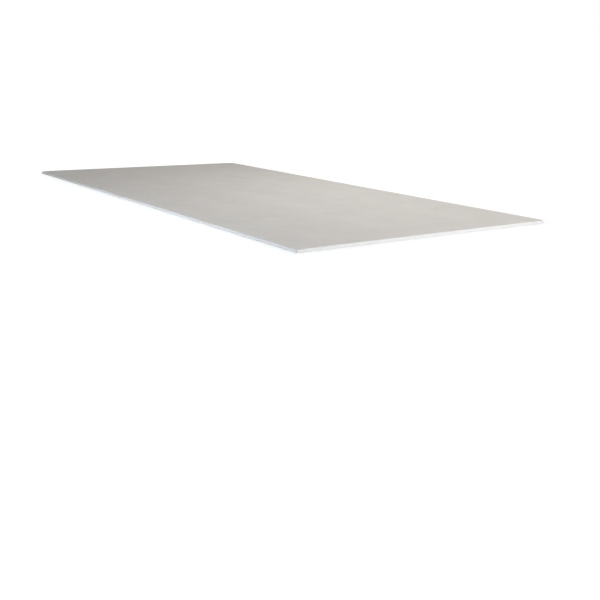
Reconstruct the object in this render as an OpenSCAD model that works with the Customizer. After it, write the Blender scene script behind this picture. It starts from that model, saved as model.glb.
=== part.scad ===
// Drywall sheet with tapered long edges, lying on its back with the face up.
// The face paper is folded round both long edges, and the two short ends are sawn square.
// X runs along the length, Y across the width, and Z up from the back. The origin is the middle of the back.

/* [Sheet] */
// Length along the paper-bound edges
sheet_length = 2438.4; // [1200:0.1:4876.8]
// Width from one paper-bound edge to the other
sheet_width = 1219.2; // [600:0.1:1371.6]
// Thickness of the flat field
sheet_thickness = 12.7; // [9.5:0.1:25.4]

/* [Tapered margins] */
// Width of the tapered margin along each long edge
taper_width = 50; // [38:0.5:80]
// Drop of the face across the margin
taper_depth = 1.8; // [0.5:0.1:2.5]
// Radius of the soft bend from the flat field into the margin
taper_bend_radius = 400; // [100:10:800]

/* [Paper folds] */
// Radius of the fold between the margin and the long edge
face_fold_radius = 1.8; // [0.5:0.1:3]
// Radius of the fold between the long edge and the back
back_fold_radius = 1; // [0.3:0.1:3]

/* [Hidden] */
// Facets of a full turn at the folds
$fn = 96;
// Straight steps along each soft bend
bend_steps = 6;
// Colour of the face paper
paper_colour = [0.81, 0.80, 0.77];

// Half the width, which is where the long edges stand
edge_y = sheet_width / 2;
// Height of the margin where it meets the fold
margin_foot_z = sheet_thickness - taper_depth;
// Slope of the margin, in degrees
taper_angle = atan(taper_depth / (taper_width - face_fold_radius));
// Distance that the bend takes up on either side of the corner that it rounds off
bend_reach = taper_bend_radius * tan(taper_angle / 2);
// Centres of the bend and of the two folds on the +Y side, as [y, z]
bend_centre = [edge_y - taper_width - bend_reach, sheet_thickness - taper_bend_radius];
face_fold_centre = [edge_y - face_fold_radius, margin_foot_z - face_fold_radius];
back_fold_centre = [edge_y - back_fold_radius, back_fold_radius];

// Point of the bend, with the angle in degrees from straight up towards the edge
function bend_point(angle) = bend_centre + taper_bend_radius * [sin(angle), cos(angle)];

// Half of the cross-section as [y, z], from the middle of the face to the middle of the back,
// with a square notch at each fold
function half_section() = [
    [0, sheet_thickness],
    for (step = [0:bend_steps]) bend_point(taper_angle * step / bend_steps),
    face_fold_centre + [0, face_fold_radius],
    face_fold_centre,
    face_fold_centre + [face_fold_radius, 0],
    back_fold_centre + [back_fold_radius, 0],
    back_fold_centre,
    back_fold_centre - [0, back_fold_radius],
    [0, 0]
];

// Carries a shape drawn in the YZ plane along the whole length
module along_length() {
    translate([-sheet_length / 2, 0, 0])
        rotate([90, 0, 90])
            linear_extrude(height = sheet_length) children();
}

// Round fill of the notch at a fold
module paper_fold(centre, radius) {
    along_length() translate(centre) circle(r = radius);
}

// The whole sheet: two mirrored halves that meet along the middle
module drywall_sheet() {
    color(paper_colour)
        for (side = [0, 1]) mirror([0, side, 0]) {
            along_length() polygon(half_section());
            paper_fold(face_fold_centre, face_fold_radius);
            paper_fold(back_fold_centre, back_fold_radius);
        }
}

drywall_sheet();
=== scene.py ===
import math

import bmesh
import bpy
from mathutils import Matrix, Vector, noise


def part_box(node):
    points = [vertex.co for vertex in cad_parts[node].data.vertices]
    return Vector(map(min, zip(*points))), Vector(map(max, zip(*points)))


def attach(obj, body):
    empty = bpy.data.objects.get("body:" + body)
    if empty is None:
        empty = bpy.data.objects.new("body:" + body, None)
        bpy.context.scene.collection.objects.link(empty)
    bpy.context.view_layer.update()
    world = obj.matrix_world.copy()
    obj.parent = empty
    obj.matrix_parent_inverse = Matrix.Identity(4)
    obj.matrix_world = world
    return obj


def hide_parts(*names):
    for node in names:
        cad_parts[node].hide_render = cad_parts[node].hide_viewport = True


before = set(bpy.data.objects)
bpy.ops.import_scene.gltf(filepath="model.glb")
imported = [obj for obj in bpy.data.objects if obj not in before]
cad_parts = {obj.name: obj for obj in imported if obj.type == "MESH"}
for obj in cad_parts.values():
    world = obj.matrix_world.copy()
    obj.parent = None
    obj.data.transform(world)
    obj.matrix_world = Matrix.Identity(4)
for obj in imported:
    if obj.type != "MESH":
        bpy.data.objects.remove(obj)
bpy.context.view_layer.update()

# Sizes are in metres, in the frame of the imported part: X along the board, Y across it, Z up from its back
low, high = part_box("drywall_sheet")
LENGTH, WIDTH, THICKNESS = high - low
HALF_LENGTH = LENGTH / 2
HALF_WIDTH = WIDTH / 2
MM = 0.001

# Places that are closer together than this count as one
NEAR = 1e-6

# Section of the board, as in the solid
TAPER_WIDTH = 50 * MM
TAPER_DEPTH = 1.8 * MM
BEND_RADIUS = 400 * MM
FACE_FOLD_RADIUS = 1.8 * MM
BACK_FOLD_RADIUS = 1 * MM
BEND_SEGMENTS = 8
FOLD_SEGMENTS = 5

# Paper: its thickness, the strip of face paper that shows on the back outside the back paper, and the run of
# the step between the two
PAPER = 0.35 * MM
LAP_SHOWN = 22 * MM
LAP_STEP = 0.3 * MM

# Least part along Z of the normal of a level face, and of a face of the back paper or its step
LEVEL = 0.9
BACK_LEVEL = 0.5

# Material slots of the mesh, after the face paper's, which every face has at first
BACK_SLOT = 1
CORE_SLOT = 2

# Mesh spacing along the board, across its field and its margins, and over the sawn ends
RING_STEP = 20 * MM
FIELD_STEP = 40 * MM
MARGIN_STEP = 3 * MM
SAW_STEP = 2 * MM
SAW_ROWS = 10

# Rings at each end that are cut again, and how many times each is cut
CLOSE_RINGS = 2
CLOSE_CUTS = 7

# Waves of the face: depth, waves in a metre, and the share of the thickness, from the back up, without them
FACE_WAVE = 0.25 * MM
WAVES_ALONG = 2.2
WAVES_ACROSS = 3.1
WAVE_FOOT = 0.2

# Ripple of the folded edges: depth, ripples in a metre, and how far it reaches in from the edge
EDGE_RIPPLE = 0.3 * MM
RIPPLES_ALONG = 14
RIPPLES_UP = 40
RIPPLE_REACH = WIDTH / 100

# Fray of the cut paper: depth, and tufts in a metre
FRAY = 0.25 * MM
TUFTS = 230

# Where the noise of the ends and of the edges is read, on opposite sides of 0, so that no two are alike
END_PLACE = 3
EDGE_PLACE = 5

# Sawn core: how far it is set back behind the cut paper, the run of that wall, and the saw's deepest mark
CORE_RECESS = 0.25 * MM
CORE_WALL = 0.1 * PAPER
SAW_TOOTH = 0.7 * MM

# Shares of the deepest mark: the usual depth, what the saw's strokes change and what crumbs change, with the
# number of strokes and crumbs in a metre
TOOTH_MIDDLE = 0.45
STROKE_SHARE = 0.4
CRUMB_SHARE = 0.55
STROKES_ACROSS = 190
STROKES_UP = 35
CRUMBS = 330

# Edges that are bent less than this are shaded as smooth
SHARP_ANGLE = math.radians(35)

# Corners: how far a worn one and the bruised one are knocked in, and how far the knock reaches. The signs of
# X and Y say which one is bruised
WORN_DEPTH = 1.5 * MM
WORN_REACH = 5 * MM
BRUISED_CORNER = (1, 1)
BRUISE_DEPTH = 7 * MM
BRUISE_REACH = 16 * MM

# A knock is over at this many reaches. It is uneven by a share of its depth, with so many dents in a metre
KNOCK_END = 3
KNOCK_UNEVEN = 0.4
DENTS = 100

# Mesh of the bruise: its step, and how many reaches of the corner have it
CREASE_STEP = 1 * MM
REFINED_REACHES = 2

# Ridges of the bruise: height, ridges in one reach, how far they stray from true rings, as an angle of their
# wave, and the bends of that in a metre
CRUMPLE = 2.6 * MM
RIDGES = 2.6
STRAY = 2
STRAY_BENDS = 70

# Creases of the bruise: how far they shift the paper, the coarse and the fine ones in a metre, how much the
# fine ones shift it beside the coarse, and the seed of their noise
CREASE = 0.7 * MM
COARSE_CREASES = 260
FINE_CREASES = 700
FINE_CREASE_SHARE = 1 / 3
CREASE_SEED = 1

# Colours, as linear red, green, blue and alpha
FACE_DARK = (0.580, 0.555, 0.522, 1)
FACE_LIGHT = (0.662, 0.637, 0.606, 1)
FACE_WARM = (0.64, 0.585, 0.525, 1)
FACE_FLECK = (0.34, 0.30, 0.25, 1)
# Darker grey of the rubbed folds and of the patches round the bruised corner
FACE_DARKENED = (0.44, 0.43, 0.41, 1)
BACK_DARK = (0.36, 0.34, 0.305, 1)
BACK_LIGHT = (0.46, 0.44, 0.40, 1)
BACK_FLECK = (0.16, 0.145, 0.12, 1)
GYPSUM_DARK = (0.763, 0.77, 0.766, 1)
GYPSUM_LIGHT = (0.863, 0.87, 0.868, 1)
# Painted shade in the pores of the core
GYPSUM_PORE_SHADE = (0.46, 0.46, 0.45, 1)
GYPSUM_DUST = (0.775, 0.78, 0.77, 1)

# Layers of noise in a finish: waves in a metre along X, Y and Z, detail and roughness of the noise, and its
# share in the tone
PAPER_LAYERS = {
    "bands": ((0.3, 5, 5), 2, 0.5, 0.6),
    "streaks": ((0.5, 34, 34), 4, 0.65, 0.8),
    "clouds": ((7, 7, 7), 4, 0.6, 1.4),
    "pulp": ((120, 120, 120), 4, 0.7, 1.0),
    "fibres": ((180, 1300, 1300), 3, 0.6, 1.2),
}
CORE_LAYERS = {
    "clouds": ((55, 55, 55), 4, 0.65, 1.1),
    "strokes": ((1, 800, 40), 4, 0.6, 0.9),
}

# Surface of each finish: roughness, how much it changes with a layer, specular level, and strength and
# height of the bumps
FACE_SURFACE = (0.78, 0.25, 0.35, 0.8, 0.3 * MM)
BACK_SURFACE = (0.84, 0.25, 0.3, 0.9, 0.35 * MM)
CORE_SURFACE = (0.92, -0.2, 0.2, 0.7, 0.5 * MM)

# Flecks of each paper: points in a metre, the share of them that show, and how strongly
FACE_FLECKS = (210, 0.3, 0.4)
BACK_FLECKS = (190, 0.5, 0.5)

# Shape of a fleck: points along the board for each one across, which draws it out, where its core and its
# rim end, in spaces between points, and the share of the flecks that are at full strength
FLECK_DRAW = 0.4
FLECK_CORE = 0.07
FLECK_RIM = 0.13
FLECK_CLEAR_SHARE = 0.8

# Warm patches of the face: usual strength, patches in a metre, and how much the strength changes
WARM_MIDDLE = 0.15
WARM_PATCHES = 11
WARM_CHANGE = 1.1

# Rubbed folds: distances from the edge where rubbing starts and is full, waves in a metre, the levels of the
# noise where it starts and is full, and its strength
RUB_STARTS = 4 * MM
RUB_FULL = 1 * MM
RUB_WAVES = (9, 120, 120)
RUB_LEVEL_STARTS = 0.02
RUB_LEVEL_FULL = 0.16
RUB_STRENGTH = 0.3

# Darkening round the bruised corner, in patches: the reaches from the corner where it starts to fade and
# ends, its usual amount, spots in a metre, how much the amount changes, and its strength
DARKENING_FADES = 0.3
DARKENING_ENDS = 1.6
DARKENING_MIDDLE = 0.55
DARKENING_SPOTS = 240
DARKENING_CHANGE = 2.2
DARKENING_STRENGTH = 0.6

# Gypsum dust along the sawn ends: how far in it lies, its usual amount, drifts in a metre, how much the
# amount changes, and its strength
DUST_REACH = 18 * MM
DUST_MIDDLE = 0.25
DUST_DRIFTS = 70
DUST_CHANGE = 2
DUST_STRENGTH = 0.6

# Pores of the core: points in a metre, and the radius of the widest, in spaces between points
COARSE_PORES = (650, 0.45)
FINE_PORES = (1700, 0.5)

# The smallest pore as a share of the widest, and the unevenness of their rims, with its waves for each point
PORE_LEAST = 0.25
PORE_UNEVEN = 0.12
PORE_WAVES = 2.5

# How much painted shade darkens the core in the coarse and the fine pores, and the height of the fine ones
# and of the strokes, where that of the coarse ones is 1
COARSE_SHADE = 0.6
FINE_SHADE = 0.45
FINE_DEPTH = 0.4
STROKE_HEIGHT = 0.4

# Camera, solved on the corners and edges of the board in the photograph
LENS_MM = 50
SENSOR_MM = 36
CAMERA_PLACE = (3.347, -2.117, 0.544)
CAMERA_AZIMUTH = math.radians(54.38)
CAMERA_PITCH = math.radians(14.98)
CAMERA_ROLL = math.radians(1.35)

# Soft lights: place, aim, width and height, watts, colour
LIGHTS = {
    "overhead": ((0.2, 0.56, 1.4), (0.51, 1.06, 0), (2.0, 1.6), 14.7, (1.0, 0.99, 0.97)),
    "near_edge": ((0.46, -2.43, 0.28), (0.7, -0.6, 0), (1.6, 0.5), 33, (0.82, 0.97, 1.13)),
    "near_end": ((2.99, 0.13, 0.78), (1.2, 0.2, 0), (1.6, 0.9), 27, (1.0, 1.0, 1.0)),
    "far_end": ((-3.0, 0.0, 0.27), (-1.2, 0.0, 0), (2.0, 0.5), 14, (1.0, 1.0, 1.0)),
    "far_edge": ((-0.2, 2.6, 0.27), (-0.2, 0.6, 0), (2.6, 0.5), 14, (1.0, 1.0, 1.0)),
    "underneath": ((0.01, 0, -2.4), (0, 0, 0), (3.4, 2.6), 45, (1.0, 1.0, 1.0)),
}

# Grey of the surroundings and the floor as they light the board, and of the floor where it is seen directly
SURROUND_GREY = 0.345
FLOOR_GREY = 0.8
FLOOR_SEEN_GREY = 0.9

# The floor is open under the board, so that the back shows from below. Its half width, how far it reaches in
# under the board's sides, and how far it lies below the back
FLOOR_HALF = 60
FLOOR_LIP = 10 * MM
FLOOR_DROP = 0.05 * MM

# Glow of the floor where it is seen directly: what the lights leave short of white beside the board, which
# changes along it and across it, and the distance from the board over which that becomes a full glow
GLOW_MIDDLE = 0.24
GLOW_ALONG = -0.12
GLOW_ALONG_SQUARED = 0.05
GLOW_ACROSS = -0.13
GLOW_ACROSS_SQUARED = 0.06
GLOW_TWIST = 0.03
GLOW_FULL = 0.9
GLOW_REACH = 0.4


# Shader arithmetic

class Wire:
    """A socket of a node tree. Arithmetic on it adds Math nodes, and node() adds any other kind of node."""

    def __init__(self, tree, socket=None):
        self.tree = tree
        self.socket = socket

    def node(self, kind, settings, sockets, output=0):
        """Adds a node with its settings, then its sockets' values or links, and returns one output."""
        made = self.tree.nodes.new(kind)
        for name, value in settings.items():
            setattr(made, name, value)
        for name, value in sockets.items():
            if isinstance(value, Wire):
                self.tree.links.new(value.socket, made.inputs[name])
            else:
                made.inputs[name].default_value = value
        return Wire(self.tree, made.outputs[output] if made.outputs else None)

    def math(self, operation, first, second=0.0):
        """A Math node on one or two values."""
        return self.node("ShaderNodeMath", {"operation": operation}, {0: first, 1: second})

    def __add__(self, other):
        return self.math("ADD", self, other)

    def __radd__(self, other):
        return self.math("ADD", other, self)

    def __sub__(self, other):
        return self.math("SUBTRACT", self, other)

    def __rsub__(self, other):
        return self.math("SUBTRACT", other, self)

    def __mul__(self, other):
        return self.math("MULTIPLY", self, other)

    def __rmul__(self, other):
        return self.math("MULTIPLY", other, self)

    def __truediv__(self, other):
        return self.math("DIVIDE", self, other)

    def __rtruediv__(self, other):
        return self.math("DIVIDE", other, self)

    def __abs__(self):
        return self.math("ABSOLUTE", self)

    def at_least(self, other):
        """The larger of this value and another."""
        return self.math("MAXIMUM", self, other)

    def stretched(self, x, y, z):
        """This vector with each of its parts times a number."""
        return self.node("ShaderNodeVectorMath", {"operation": "MULTIPLY"}, {0: self, 1: (x, y, z)})

    def distance(self, place):
        """How far this vector is from a place."""
        settings = {"operation": "DISTANCE"}
        return self.node("ShaderNodeVectorMath", settings, {0: self, 1: place}, output="Value")

    def part(self, axis):
        """One part of this vector, by its axis: 0, 1 or 2."""
        return self.node("ShaderNodeSeparateXYZ", {}, {0: self}, output=axis)

    def cloud(self, scale=1.0, detail=2.0, rough=0.5):
        """Soft noise about 0 at this vector, mostly from -0.3 to 0.3."""
        sockets = {"Vector": self, "Scale": scale, "Detail": detail, "Roughness": rough}
        return self.node("ShaderNodeTexNoise", {}, sockets) - 0.5

    def cells(self, scale):
        """Distance from this vector to the nearest point of a scatter, and that point's number, 0 to 1."""
        near = self.node("ShaderNodeTexVoronoi", {}, {"Vector": self, "Scale": scale})
        number = Wire(self.tree, near.socket.node.outputs["Color"]).part(0)
        return near, number

    def ramp(self, start, stop):
        """A smooth step from 0 at start to 1 at stop."""
        settings = {"interpolation_type": "SMOOTHSTEP"}
        return self.node("ShaderNodeMapRange", settings, {0: self, 1: start, 2: stop, 3: 0.0, 4: 1.0})

    def blend(self, plain, other):
        """Goes from one colour to another as this value goes from 0 to 1."""
        settings = {"data_type": "RGBA"}
        return self.node("ShaderNodeMix", settings, {0: self, 6: plain, 7: other}, output=2)

    def bumps(self, strength, distance):
        """A normal from this value as a height."""
        return self.node("ShaderNodeBump", {}, {"Strength": strength, "Distance": distance, "Height": self})


def new_material(name):
    """A material with an empty tree, and the board's own coordinates in it."""
    material = bpy.data.materials.new(name)
    material.use_nodes = True
    material.node_tree.nodes.clear()
    tree = Wire(material.node_tree)
    return material, tree, tree.node("ShaderNodeTexCoord", {}, {}, output="Object")


def finish_material(tree, colour, layer, height, surface):
    """Ends a material in one Principled shader, whose roughness changes with one layer of its noise."""
    roughness, change, specular, strength, distance = surface
    shader = tree.node("ShaderNodeBsdfPrincipled", {}, {
        "Base Color": colour,
        "Roughness": roughness + layer * change,
        "Specular IOR Level": specular,
        "Normal": height.bumps(strength, distance),
    })
    tree.node("ShaderNodeOutputMaterial", {}, {"Surface": shader})


# Finishes

def layered(at, layers):
    """The tone about 0.5 that layers of noise make together, and each layer by its name."""
    made = {}
    tone = 0.5
    for name, (waves, detail, rough, share) in layers.items():
        made[name] = at.stretched(*waves).cloud(detail=detail, rough=rough)
        tone = tone + made[name] * share
    return tone, made


def paper_grain(at):
    """What both papers share: tone from broad bands to single fibres, the pulp, and the fibres' height."""
    tone, layers = layered(at, PAPER_LAYERS)
    return tone, layers["pulp"], layers["fibres"] + layers["pulp"]


def flecks(at, points, share, strength):
    """A mask of short odd fibres that lie along the board, at a share of the points of a scatter."""
    near, number = at.stretched(FLECK_DRAW, 1, 1).cells(points)
    shown = number.ramp(1 - share, 1 - share * FLECK_CLEAR_SHARE)
    return (1 - near.ramp(FLECK_CORE, FLECK_RIM)) * shown * strength


def rubbed_folds(at):
    """A mask of the places where the folds along both edges are rubbed."""
    fold = abs(at.part(1)).ramp(HALF_WIDTH - RUB_STARTS, HALF_WIDTH - RUB_FULL)
    rub = at.stretched(*RUB_WAVES).cloud(detail=4, rough=0.65).ramp(RUB_LEVEL_STARTS, RUB_LEVEL_FULL)
    return rub * fold * RUB_STRENGTH


def bruise_darkening(at):
    """A mask that darkens the paper round the bruised corner, in patches."""
    sign_x, sign_y = BRUISED_CORNER
    away = at.distance((sign_x * HALF_LENGTH, sign_y * HALF_WIDTH, THICKNESS))
    bruise = 1 - away.ramp(DARKENING_FADES * BRUISE_REACH, DARKENING_ENDS * BRUISE_REACH)
    amount = (DARKENING_MIDDLE + at.cloud(DARKENING_SPOTS, detail=3) * DARKENING_CHANGE).at_least(0)
    return bruise * amount * DARKENING_STRENGTH


def saw_dust(at):
    """A mask of the gypsum dust that lies along the sawn ends."""
    from_end = HALF_LENGTH - abs(at.part(0))
    amount = (DUST_MIDDLE + at.cloud(DUST_DRIFTS, detail=4) * DUST_CHANGE).at_least(0)
    return (1 - from_end.ramp(0.0, DUST_REACH)) * amount * DUST_STRENGTH


def face_paper():
    """Pale paper with warm patches and flecks, worn at its folds, darker in patches round its bruise, and
    dusty at the ends.
    """
    material, tree, at = new_material("face_paper")
    tone, pulp, height = paper_grain(at)
    plain = tone.blend(FACE_DARK, FACE_LIGHT)
    warmth = WARM_MIDDLE + at.cloud(WARM_PATCHES, detail=3) * WARM_CHANGE
    warmed = warmth.blend(plain, FACE_WARM)
    flecked = flecks(at, *FACE_FLECKS).blend(warmed, FACE_FLECK)
    # The folds are rubbed, and the paper round the bruised corner is darker in patches
    worn = rubbed_folds(at).at_least(bruise_darkening(at)).blend(flecked, FACE_DARKENED)
    dusted = saw_dust(at).blend(worn, GYPSUM_DUST)
    finish_material(tree, dusted, pulp, height, FACE_SURFACE)
    return material


def back_paper():
    """Grey paper with dark flecks."""
    material, tree, at = new_material("back_paper")
    tone, pulp, height = paper_grain(at)
    plain = tone.blend(BACK_DARK, BACK_LIGHT)
    flecked = flecks(at, *BACK_FLECKS).blend(plain, BACK_FLECK)
    finish_material(tree, flecked, pulp, height, BACK_SURFACE)
    return material


def pores(at, points, widest):
    """Depth of bowl-shaped pores with uneven rims, most of them small: 0 between them, 1 in the widest."""
    near, number = at.cells(points)
    size = PORE_LEAST + (1 - PORE_LEAST) * (number * number * number)
    inward = (near + at.cloud(points * PORE_WAVES) * PORE_UNEVEN) / (widest * size)
    return (1 - inward * inward).at_least(0) * size


def gypsum_core():
    """White gypsum with pores of two sizes, darkened by painted shade, and the strokes of the saw."""
    material, tree, at = new_material("gypsum_core")
    coarse = pores(at, *COARSE_PORES)
    fine = pores(at, *FINE_PORES)
    tone, layers = layered(at, CORE_LAYERS)
    strokes = layers["strokes"]
    plain = tone.blend(GYPSUM_DARK, GYPSUM_LIGHT)
    # Painted shade: the pores darken the core by their depth
    pore_shaded = (coarse * COARSE_SHADE + fine * FINE_SHADE).blend(plain, GYPSUM_PORE_SHADE)
    height = strokes * STROKE_HEIGHT - coarse - fine * FINE_DEPTH
    finish_material(tree, pore_shaded, strokes, height, CORE_SURFACE)
    return material


# The board

def lengthwise(edge):
    """Says whether an edge runs along the board."""
    first, second = edge.verts
    return abs(first.co.x - second.co.x) > NEAR


def section_edges(bm, y, z):
    """The lengthwise edges through one point of the section, on both sides of the board."""
    return [
        edge for edge in bm.edges
        if lengthwise(edge)
        and all(abs(abs(v.co.y) - y) < NEAR and abs(v.co.z - z) < NEAR for v in edge.verts)
    ]


def cut(bm, faces, place, normal):
    """Cuts faces by a plane, and returns the faces that they become."""
    around = dict.fromkeys(part for face in faces for part in (*face.edges, *face.verts))
    made = bmesh.ops.bisect_plane(
        bm, geom=[*faces, *around], dist=NEAR, plane_co=place, plane_no=normal)
    return [part for part in made["geom"] if isinstance(part, bmesh.types.BMFace)]


def cut_across(bm, faces, y):
    """Cuts faces lengthwise at the same distance from the middle on both sides."""
    for side in (-1, 1):
        faces = cut(bm, faces, (0, side * y, 0), (0, 1, 0))


def round_off(bm, y, z, offset, segments):
    """Rounds the lengthwise edges through one point of the section."""
    bmesh.ops.bevel(
        bm, geom=section_edges(bm, y, z), offset=offset, offset_type="OFFSET",
        affect="EDGES", segments=segments, profile=0.5, material=-1)


def taper_margins(bm):
    """Slopes the face down to both long edges, and rounds the bends and the paper folds."""
    slope = math.atan(TAPER_DEPTH / (TAPER_WIDTH - FACE_FOLD_RADIUS))
    margin_y = HALF_WIDTH - TAPER_WIDTH
    edge_z = THICKNESS - TAPER_WIDTH * math.tan(slope)
    cut_across(bm, [f for f in bm.faces if f.normal.z > LEVEL], margin_y)
    brow = [v for v in bm.verts if v.co.z > THICKNESS - NEAR and abs(v.co.y) > HALF_WIDTH - NEAR]
    bmesh.ops.translate(bm, vec=(0, 0, edge_z - THICKNESS), verts=brow)
    round_off(bm, margin_y, THICKNESS, BEND_RADIUS * math.tan(slope / 2), BEND_SEGMENTS)
    round_off(bm, HALF_WIDTH, edge_z, FACE_FOLD_RADIUS, FOLD_SEGMENTS)


def lap_papers(bm):
    """Steps the back up by the back paper's thickness outside its cut edges, and rounds the folds there."""
    lap_y = HALF_WIDTH - LAP_SHOWN
    for y in (lap_y, lap_y + LAP_STEP):
        cut_across(bm, [f for f in bm.faces if f.normal.z < -LEVEL], y)
    outside = [v for v in bm.verts if v.co.z < NEAR and abs(v.co.y) > lap_y + LAP_STEP - NEAR]
    bmesh.ops.translate(bm, vec=(0, 0, PAPER), verts=outside)
    round_off(bm, HALF_WIDTH, PAPER, BACK_FOLD_RADIUS, FOLD_SEGMENTS)
    bm.normal_update()
    for face in bm.faces:
        if face.normal.z < -BACK_LEVEL and abs(face.calc_center_median().y) < lap_y + LAP_STEP:
            face.material_index = BACK_SLOT


def end_faces(bm, side):
    """The faces at one end of the board."""
    return [f for f in bm.faces if all(v.co.x * side > HALF_LENGTH - NEAR for v in f.verts)]


def section_cuts(edge):
    """How many times an edge of the section is cut: more often in the margins than in the field."""
    middle = (edge.verts[0].co + edge.verts[1].co) / 2
    step = FIELD_STEP if abs(middle.y) < HALF_WIDTH - TAPER_WIDTH else MARGIN_STEP
    return int(edge.calc_length() / step)


def subdivide_each(bm, edges, count):
    """Cuts each edge as many times as count says for it."""
    by_cuts = {}
    for edge in edges:
        by_cuts.setdefault(count(edge), []).append(edge)
    for cuts in sorted(set(by_cuts) - {0}):
        bmesh.ops.subdivide_edges(bm, edges=by_cuts[cuts], cuts=cuts, use_grid_fill=True)


def divide(bm):
    """Cuts the section and the length into short steps, with closer rings near the ends."""
    subdivide_each(bm, [edge for edge in bm.edges if not lengthwise(edge)], section_cuts)
    for side in (-1, 1):
        bmesh.ops.dissolve_faces(bm, faces=end_faces(bm, side))
    along = [edge for edge in bm.edges if lengthwise(edge)]
    rings = int(LENGTH / RING_STEP)
    bmesh.ops.subdivide_edges(bm, edges=along, cuts=rings - 1, use_grid_fill=True)
    close_from = HALF_LENGTH - (CLOSE_RINGS + 0.5) * LENGTH / rings
    last = [
        edge for edge in bm.edges
        if lengthwise(edge) and min(abs(v.co.x) for v in edge.verts) > close_from
    ]
    bmesh.ops.subdivide_edges(bm, edges=last, cuts=CLOSE_CUTS, use_grid_fill=True)
    bm.normal_update()


def tooth(place):
    """Depth of the saw's work at a place on a sawn end, as a share of its deepest."""
    strokes = noise.noise(Vector((place.y * STROKES_ACROSS, place.z * STROKES_UP, place.x)))
    crumbs = noise.noise(place * CRUMBS)
    return min(1, max(0, TOOTH_MIDDLE + STROKE_SHARE * strokes + CRUMB_SHARE * crumbs))


def saw_end(bm, side):
    """Leaves the cut papers as a thin rim round the end, and the core inside it as a rough sawn face."""
    end, = end_faces(bm, side)
    rim = bmesh.ops.inset_region(bm, faces=[end], thickness=PAPER, use_even_offset=True)["faces"]
    for face in rim:
        face.material_index = BACK_SLOT
    wall = bmesh.ops.inset_region(
        bm, faces=[end], thickness=CORE_WALL, depth=-CORE_RECESS, use_even_offset=True)["faces"]
    rest = end
    sawn = []
    for step in range(1, int(WIDTH / SAW_STEP)):
        pieces = cut(bm, [rest], (0, step * SAW_STEP - HALF_WIDTH, 0), (0, 1, 0))
        rest = max(pieces, key=lambda face: face.calc_center_median().y)
        sawn += [face for face in pieces if face is not rest]
    sawn.append(rest)
    for row in range(1, SAW_ROWS):
        sawn = cut(bm, sawn, (0, 0, THICKNESS * row / SAW_ROWS), (0, 0, 1))
    for face in (*wall, *sawn):
        face.material_index = CORE_SLOT
    known = set(sawn)
    inner = {v for face in sawn for v in face.verts if known.issuperset(v.link_faces)}
    for vert in inner:
        vert.co.x -= side * SAW_TOOTH * tooth(vert.co)


def positive_noise(x, y, z):
    """Soft noise from 0 to 1 at a place."""
    return 0.5 + 0.5 * noise.noise(Vector((x, y, z)))


def roughen(bm):
    """Gives the face waves, the folded edges a ripple and the cut paper a fray, all inside the true size."""
    for vert in bm.verts:
        x, y, z = vert.co
        if abs(x) > HALF_LENGTH - NEAR:
            fray = positive_noise(math.copysign(END_PLACE, x), y * TUFTS, z * TUFTS)
            vert.co.x -= math.copysign(FRAY * fray, x)
        wave = positive_noise(x * WAVES_ALONG, y * WAVES_ACROSS, 0)
        vert.co.z -= FACE_WAVE * wave * max(0, z / THICKNESS - WAVE_FOOT)
        ripple = positive_noise(x * RIPPLES_ALONG, math.copysign(EDGE_PLACE, y), z * RIPPLES_UP)
        nearness = max(0, 1 - (HALF_WIDTH - abs(y)) / RIPPLE_REACH)
        vert.co.y -= math.copysign(EDGE_RIPPLE * ripple * nearness, y)


def corner_place(signs):
    """A corner of the back, by its signs of X and Y."""
    return Vector((signs[0] * HALF_LENGTH, signs[1] * HALF_WIDTH, 0))


def refine_bruise(bm):
    """Cuts the long edges near the bruised corner, for room to crumple."""
    corner = corner_place(BRUISED_CORNER)
    refined = REFINED_REACHES * BRUISE_REACH
    near = [edge for edge in bm.edges if all((v.co - corner).xy.length < refined for v in edge.verts)]
    subdivide_each(bm, near, lambda edge: int(edge.calc_length() / CREASE_STEP))


def knock_corner(bm, signs, depth, reach):
    """Pushes one corner in along the diagonal, more at some heights than at others."""
    corner = corner_place(signs)
    for vert in bm.verts:
        away = (vert.co - corner).xy.length / reach
        if away < KNOCK_END:
            knock = depth * math.sqrt(0.5) * math.exp(-away ** 2)
            uneven = KNOCK_UNEVEN * noise.noise(vert.co * DENTS) * vert.co.z / THICKNESS
            vert.co.x -= signs[0] * knock * (1 + uneven)
            vert.co.y -= signs[1] * knock * (1 - uneven)


def crumple_bruise(bm):
    """Buckles the bruised corner into ridges round it, with creases, and presses it down between them."""
    noise.seed_set(CREASE_SEED)
    corner = corner_place(BRUISED_CORNER)
    for vert in bm.verts:
        away = (vert.co - corner).xy.length / BRUISE_REACH
        if away < KNOCK_END:
            fade = math.exp(-away ** 2 / 2)
            stray = STRAY * noise.noise(vert.co * STRAY_BENDS)
            valley = abs(math.sin(math.pi * RIDGES * away + stray))
            fine = noise.noise_vector(vert.co * FINE_CREASES) * FINE_CREASE_SHARE
            crease = noise.noise_vector(vert.co * COARSE_CREASES) + fine
            vert.co.x += fade * CREASE * (crease.x - BRUISED_CORNER[0] / 2)
            vert.co.y += fade * CREASE * (crease.y - BRUISED_CORNER[1] / 2)
            vert.co.z *= 1 - fade * (CRUMPLE * valley + CREASE * (0.5 + crease.z)) / THICKNESS


def wear_corners(bm):
    """Knocks in all four corners, and crumples the bruised one."""
    for signs in ((-1, -1), (-1, 1), (1, -1), (1, 1)):
        bruised = signs == BRUISED_CORNER
        depth, reach = (BRUISE_DEPTH, BRUISE_REACH) if bruised else (WORN_DEPTH, WORN_REACH)
        knock_corner(bm, signs, depth, reach)
    crumple_bruise(bm)


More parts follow.
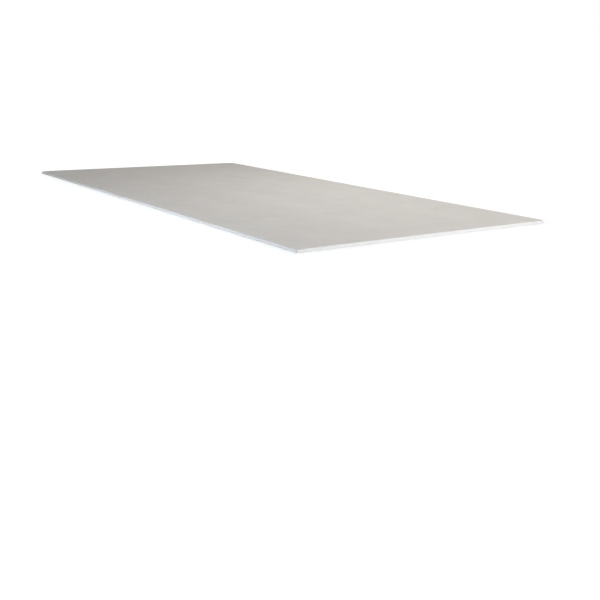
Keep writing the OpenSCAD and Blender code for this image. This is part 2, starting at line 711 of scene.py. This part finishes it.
def make_board():
    """The whole board as one closed mesh with its three finishes."""
    bm = bmesh.new()
    bmesh.ops.create_cube(bm, size=1)
    bmesh.ops.scale(bm, vec=(LENGTH, WIDTH, THICKNESS), verts=bm.verts)
    bmesh.ops.translate(bm, vec=(0, 0, THICKNESS / 2), verts=bm.verts)
    bm.normal_update()
    taper_margins(bm)
    lap_papers(bm)
    divide(bm)
    for side in (-1, 1):
        saw_end(bm, side)
    refine_bruise(bm)
    bmesh.ops.triangulate(bm, faces=bm.faces, quad_method="BEAUTY", ngon_method="BEAUTY")
    roughen(bm)
    wear_corners(bm)
    bm.normal_update()
    for face in bm.faces:
        face.smooth = True
    for edge in bm.edges:
        edge.smooth = edge.calc_face_angle(0) < SHARP_ANGLE
    mesh = bpy.data.meshes.new("board")
    bm.to_mesh(mesh)
    bm.free()
    for material in (face_paper(), back_paper(), gypsum_core()):
        mesh.materials.append(material)
    board = bpy.data.objects.new("board", mesh)
    bpy.context.scene.collection.objects.link(board)
    return board


# Studio

def seen_directly(tree):
    """1 for rays from the camera, a reflection or a clear pane, and 0 for rays that light something."""
    kinds = [
        tree.node("ShaderNodeLightPath", {}, {}, output=name)
        for name in ("Is Camera Ray", "Is Glossy Ray", "Is Transmission Ray")
    ]
    return kinds[0].at_least(kinds[1]).at_least(kinds[2])


def grey(value):
    """A grey as red, green, blue and alpha."""
    return (value, value, value, 1)


def pale_surroundings():
    """Even light from all round, which is white where it is seen directly."""
    world = bpy.data.worlds.new("studio")
    world.use_nodes = True
    world.node_tree.nodes.clear()
    tree = Wire(world.node_tree)
    colour = seen_directly(tree).blend(grey(SURROUND_GREY), grey(1))
    light = tree.node("ShaderNodeBackground", {}, {"Color": colour, "Strength": 1.0})
    tree.node("ShaderNodeOutputWorld", {}, {"Surface": light})
    bpy.context.scene.world = world


def floor_paint():
    """Matt paint. Seen directly it also glows by what the lights leave short of white, so shadows stay."""
    material, tree, at = new_material("floor")
    matt = tree.node("ShaderNodeBsdfDiffuse", {}, {"Color": grey(FLOOR_GREY)})
    lit = tree.node("ShaderNodeBsdfDiffuse", {}, {"Color": grey(FLOOR_SEEN_GREY)})
    x = at.part(0)
    y = at.part(1)
    along = x * GLOW_ALONG + x * x * GLOW_ALONG_SQUARED
    across = y * GLOW_ACROSS + y * y * GLOW_ACROSS_SQUARED
    close = GLOW_MIDDLE + along + across + x * x * y * GLOW_TWIST
    outside = (abs(x) - HALF_LENGTH).at_least(abs(y) - HALF_WIDTH)
    glow = outside.ramp(0.0, GLOW_REACH).blend(close, grey(GLOW_FULL))
    lift = tree.node("ShaderNodeEmission", {}, {"Color": glow})
    shown = tree.node("ShaderNodeAddShader", {}, {0: lit, 1: lift})
    surface = tree.node("ShaderNodeMixShader", {}, {0: seen_directly(tree), 1: matt, 2: shown})
    tree.node("ShaderNodeOutputMaterial", {}, {"Surface": surface})
    return material


def pale_floor():
    """A wide floor with an opening under the board."""
    bm = bmesh.new()
    bmesh.ops.create_grid(bm, x_segments=1, y_segments=1, size=FLOOR_HALF)
    bmesh.ops.translate(bm, vec=(0, 0, -FLOOR_DROP), verts=bm.verts)
    faces = bm.faces[:]
    for side in (-1, 1):
        faces = cut(bm, faces, (side * (HALF_LENGTH - FLOOR_LIP), 0, 0), (1, 0, 0))
        faces = cut(bm, faces, (0, side * (HALF_WIDTH - FLOOR_LIP), 0), (0, 1, 0))
    middle = min(faces, key=lambda face: face.calc_center_median().length)
    bmesh.ops.delete(bm, geom=[middle], context="FACES")
    mesh = bpy.data.meshes.new("floor")
    bm.to_mesh(mesh)
    bm.free()
    mesh.materials.append(floor_paint())
    floor = bpy.data.objects.new("floor", mesh)
    bpy.context.scene.collection.objects.link(floor)


def soft_light(name, place, target, size, power, colour):
    """A rectangle of light, aimed at a target. Reflections don't show it."""
    lamp = bpy.data.lights.new(name, "AREA")
    lamp.shape = "RECTANGLE"
    lamp.size, lamp.size_y = size
    lamp.energy = power
    lamp.color = colour
    light = bpy.data.objects.new(name, lamp)
    light.visible_glossy = False
    light.location = place
    light.rotation_euler = (Vector(target) - Vector(place)).to_track_quat("-Z", "Y").to_euler()
    bpy.context.scene.collection.objects.link(light)


def make_camera():
    """The photograph's viewpoint."""
    lens = bpy.data.cameras.new("camera")
    lens.lens = LENS_MM
    lens.sensor_width = SENSOR_MM
    camera = bpy.data.objects.new("camera", lens)
    turn = Matrix.Rotation(CAMERA_AZIMUTH, 4, "Z")
    tilt = Matrix.Rotation(math.pi / 2 - CAMERA_PITCH, 4, "X")
    roll = Matrix.Rotation(CAMERA_ROLL, 4, "Z")
    camera.matrix_world = Matrix.Translation(CAMERA_PLACE) @ turn @ tilt @ roll
    bpy.context.scene.collection.objects.link(camera)
    bpy.context.scene.camera = camera


make_camera()
board = make_board()
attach(board, "root")
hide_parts("drywall_sheet")
pale_surroundings()
pale_floor()
for name, facts in LIGHTS.items():
    soft_light(name, *facts)
bpy.context.scene.view_settings.view_transform = "Standard"
